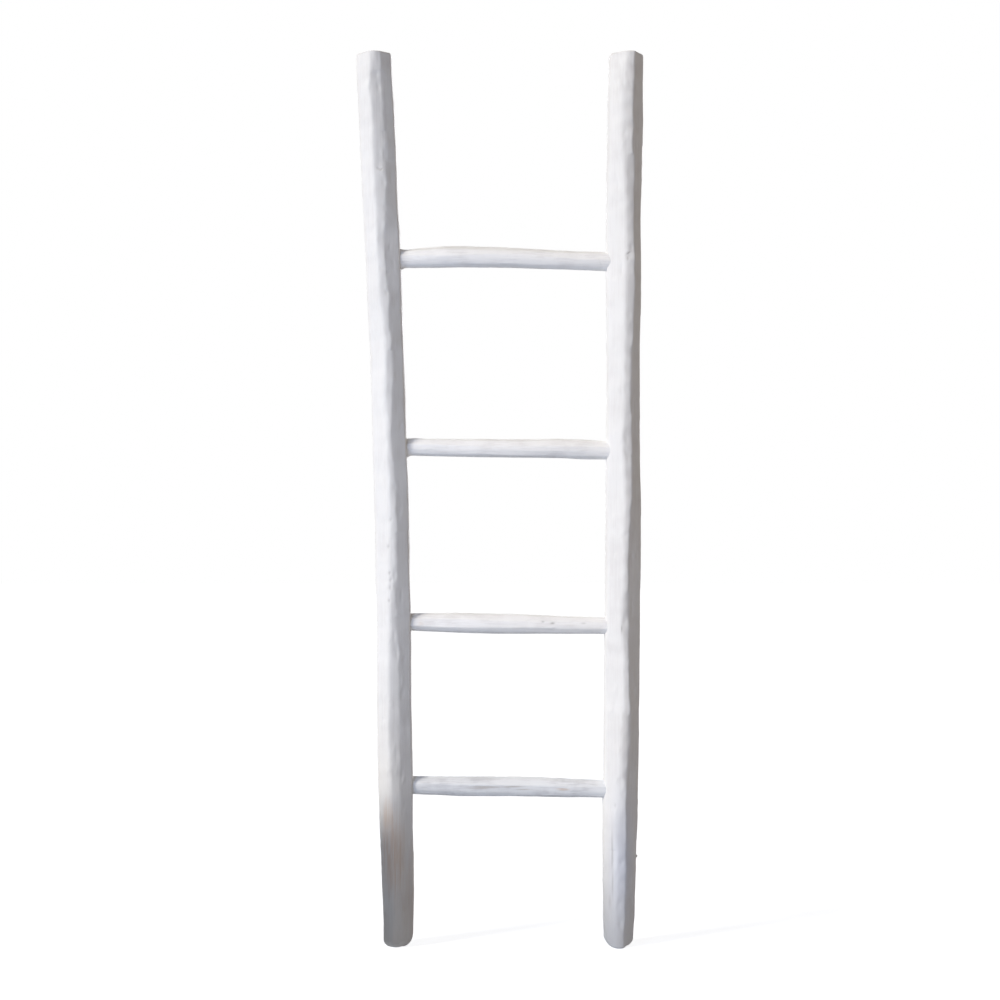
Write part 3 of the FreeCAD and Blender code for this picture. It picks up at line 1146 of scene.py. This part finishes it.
@dataclass(frozen=True)
class Studio:
    """The plain white studio: a floor, a pale sky, lamps, a screen that shades the left foot, and the camera.

    Attributes:
        key: the key lamp.
        back: the lamp behind the ladder, which the front hardly shows.
        boxes: the soft boxes.
        ambient: the colour of the light from all round.
        ambient_strength: how strong it is.
        floor: the floor's colour.
        floor_glow: how much white is added to the floor that the camera sees.
        floor_size: the floor's half width in metres.
        camera_place: where the camera stands, in metres.
        frame_width: the width of the picture at the ladder's plane, in metres.
        screen: the upper corners of the screen, in metres.
    """

    key: FarLamp = FarLamp(61.0, 25.0, 12.0, 2.62, "#FFF8EF")
    back: FarLamp = FarLamp(190.0, 12.0, 50.0, 2.5, "#F4F7FF")
    boxes: tuple[SoftBox, ...] = (
        SoftBox("front_box", (-1.5, -2.2, 0.9), (0.0, 0.0, 0.8), 1.6, 1.4, 31.0, "#D6E4FF"),
        SoftBox("warm_box", (2.0, -1.3, 1.3), (0.0, 0.0, 0.9), 1.2, 1.6, 4.2, "#FFE9D6"),
    )
    ambient: str = "#FFF3E6"
    ambient_strength: float = 0.1
    floor: str = "#B8BEC8"
    floor_glow: float = 0.85
    floor_size: float = 12.0
    camera_place: tuple[float, float, float] = (0.0, -2.8, 0.75)
    frame_width: float = 1.683
    screen: tuple[tuple[float, float, float], ...] = (
        (-0.68, 0.03, 0.123), (-0.557, -0.21, 0.427), (-0.538, -0.246, 0.413),
        (-0.522, -0.277, 0.505), (-0.469, -0.38, 0.39), (-0.35, -0.61, 0.19),
    )

    SENSOR = 36.0

    def seen(self, tree: bpy.types.NodeTree) -> bpy.types.NodeSocket:
        """Adds the nodes that tell what the camera sees, straight on, by reflection or through glass.

        Args:
            tree: the node tree that gets them.

        Returns:
            A socket that is 1 for such a ray.
        """
        rays = add_node(tree, "ShaderNodeLightPath").outputs
        seen = rays["Is Camera Ray"]
        for kind in ("Is Glossy Ray", "Is Transmission Ray"):
            seen = add_node(tree, "ShaderNodeMath", {0: seen, 1: rays[kind]}, operation="MAXIMUM").outputs[0]
        return seen

    def light(self) -> None:
        """Hangs the soft boxes and sets the light from all round."""
        for box in self.boxes:
            box.hang()
        world = bpy.data.worlds.new("studio")
        bpy.context.scene.world = world
        world.use_nodes = True
        tree = world.node_tree
        tree.nodes.clear()
        white = add_node(tree, "ShaderNodeBackground", {"Color": linear("#FFFFFF"), "Strength": 1.0})
        soft = add_node(
            tree,
            "ShaderNodeBackground",
            {"Color": linear(self.ambient), "Strength": self.ambient_strength},
        )
        mixed = add_node(
            tree, "ShaderNodeMixShader", {0: self.seen(tree), 1: soft.outputs[0], 2: white.outputs[0]},
        )
        add_node(tree, "ShaderNodeOutputWorld", {"Surface": mixed.outputs[0]})

    def lay_floor(self) -> bpy.types.Object:
        """Lays the pale floor, which stays white to the camera but for the ladder's own shadow.

        Returns:
            The floor.
        """
        shape = bmesh.new()
        bmesh.ops.create_grid(shape, x_segments=1, y_segments=1, size=self.floor_size)
        floor = stand("studio_floor", shape)
        # The floor is matt and white, so that the eye sees only where the ladder stands.
        material = blank_material("pale_floor")
        tree = material.node_tree
        matt = add_node(tree, "ShaderNodeBsdfDiffuse", {"Color": linear(self.floor)})
        glow_strength = add_node(
            tree, "ShaderNodeMath", {0: self.seen(tree), 1: self.floor_glow},
            operation="MULTIPLY",
        ).outputs[0]
        glow = add_node(tree, "ShaderNodeEmission", {"Color": linear("#FFFFFF"), "Strength": glow_strength})
        both = add_node(tree, "ShaderNodeAddShader", {0: matt.outputs[0], 1: glow.outputs[0]})
        add_node(tree, "ShaderNodeOutputMaterial", {"Surface": both.outputs[0]})
        floor.data.materials.append(material)
        return floor

    def hang_lamps(self, pieces: list[bpy.types.Object], floor: bpy.types.Object) -> None:
        """Hangs the key lamp once for the ladder and once for the floor, and the back lamp for the ladder.

        On the floor, the screen's shadow and the back lamp's light would show.

        Args:
            pieces: the ladder's pieces.
            floor: the floor.
        """
        ladder = bpy.data.collections.new("lit_ladder")
        for piece in pieces:
            ladder.objects.link(piece)
        ground = bpy.data.collections.new("lit_floor")
        ground.objects.link(floor)
        self.key.hang("key_lamp").light_linking.receiver_collection = ladder
        self.back.hang("back_lamp").light_linking.receiver_collection = ladder
        linking = self.key.hang("floor_lamp").light_linking
        linking.receiver_collection = ground
        linking.blocker_collection = ladder

    def stand_screen(self) -> None:
        """Stands the folded screen that keeps the key light off the left foot; only its shadow shows."""
        shape = bmesh.new()
        corners = [shape.verts.new(corner) for corner in self.screen]
        edges = [shape.edges.new(pair) for pair in zip(corners, corners[1:])]
        lowered = bmesh.ops.extrude_edge_only(shape, edges=edges)["geom"]
        for item in lowered:
            if isinstance(item, bmesh.types.BMVert):
                item.co.z = 0.0
        screen = stand("studio_screen", shape)
        for ray in ("camera", "diffuse", "glossy", "transmission"):
            setattr(screen, f"visible_{ray}", False)

    def place_camera(self) -> None:
        """Sets up the camera square to the ladder, at the middle of its height."""
        lens = bpy.data.cameras.new("camera")
        lens.sensor_fit = "HORIZONTAL"
        lens.sensor_width = self.SENSOR
        lens.lens = self.SENSOR * -self.camera_place[1] / self.frame_width
        camera = bpy.data.objects.new("camera", lens)
        camera.location = self.camera_place
        camera.rotation_euler = (math.pi / 2, 0.0, 0.0)
        bpy.context.scene.collection.objects.link(camera)
        bpy.context.scene.camera = camera


@dataclass(frozen=True)
class PaintedNail:
    """A steel nail, set below the wood and painted over, so that only a dull square shows at its head.

    Attributes:
        name: the material's name.
        paint: the paint on its head.
        rust: what bleeds through the paint.
        spot: the size of the rust spots.
    """

    name: str = "painted_over_steel"
    paint: str = "#DEDCD8"
    rust: str = "#A5856B"
    spot: float = 2.0

    def material(self) -> bpy.types.Material:
        """Makes the material.

        Returns:
            The new material.
        """
        material = blank_material(self.name)
        tree = material.node_tree
        place = add_node(tree, "ShaderNodeTexCoord").outputs["Object"]
        spots = add_node(
            tree, "ShaderNodeTexNoise", {"Vector": place, "Scale": 1.0 / (self.spot * MM), "Detail": 3.0},
        ).outputs["Fac"]
        bled = add_node(
            tree, "ShaderNodeMapRange", {"Value": spots, "From Min": 0.5, "From Max": 0.75, "To Max": 0.7},
        ).outputs["Result"]
        colour = add_node(
            tree,
            "ShaderNodeMix",
            {MIX_FACTOR: bled, MIX_FIRST: linear(self.paint), MIX_SECOND: linear(self.rust)},
            data_type="RGBA",
        ).outputs[MIX_RESULT]
        relief = add_node(
            tree, "ShaderNodeBump", {"Height": spots, "Distance": 0.1 * MM, "Strength": 1.0},
        ).outputs["Normal"]
        surface = add_node(
            tree, "ShaderNodeBsdfPrincipled", {"Base Color": colour, "Normal": relief, "Roughness": 0.5},
        )
        add_node(tree, "ShaderNodeOutputMaterial", {"Surface": surface.outputs["BSDF"]})
        return material


class Ladder:
    """The whole ladder: two rails, four rungs and eight nails."""

    SIDES = {"left": LEFT_RAIL, "right": RIGHT_RAIL}

    def __init__(self) -> None:
        """Makes the finishes."""
        self.paints = {paint: paint.material() for paint in (RAIL_PAINT, RUNG_PAINT, LOW_RUNG_SHADED_PAINT)}
        # The steel is painted over, so that the eye meets at most a dull, faintly rusty square.
        self.nail_finish = PaintedNail().material()

    def finish_piece(self, piece: bpy.types.Object, node: str, coat: bpy.types.Material) -> None:
        """Gives a new piece its finish and its place in the frame.

        Args:
            piece: the piece.
            node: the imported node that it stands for.
            coat: its material.
        """
        piece.data.materials.append(coat)
        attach(piece, "root")
        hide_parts(node)
        LOG.info("%s stands for %s with %d faces", piece.name, node, len(piece.data.polygons))

    def build(self) -> list[bpy.types.Object]:
        """Builds every piece.

        Returns:
            The pieces that show.
        """
        pieces = []
        for side, rail in self.SIDES.items():
            nails = []
            for rung in RUNGS:
                low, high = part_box(f"nail_{rung.node[-1]}_{side}")
                nails.append(((low.x + high.x) / 2 / MM, (low.z + high.z) / 2 / MM))
            pieces.append(rail.build(nails))
            self.finish_piece(pieces[-1], rail.node, self.paints[RAIL_PAINT])
        for rung in RUNGS:
            pieces.append(rung.build())
            self.finish_piece(pieces[-1], rung.node, self.paints[rung.paint])
        for name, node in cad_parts.items():
            if name.startswith("nail_"):
                node.data.materials.clear()
                node.data.materials.append(self.nail_finish)
                pieces.append(node)
                LOG.info("%s keeps its own shape", name)
        return pieces


def main() -> None:
    """Builds the ladder, the studio and the camera."""
    bpy.context.scene.view_settings.view_transform = "Standard"
    pieces = Ladder().build()
    studio = Studio()
    studio.light()
    studio.hang_lamps(pieces, studio.lay_floor())
    studio.stand_screen()
    studio.place_camera()


if __name__ == "__main__":
    logging.basicConfig(level=logging.INFO, format="%(name)s: %(message)s")
    main()
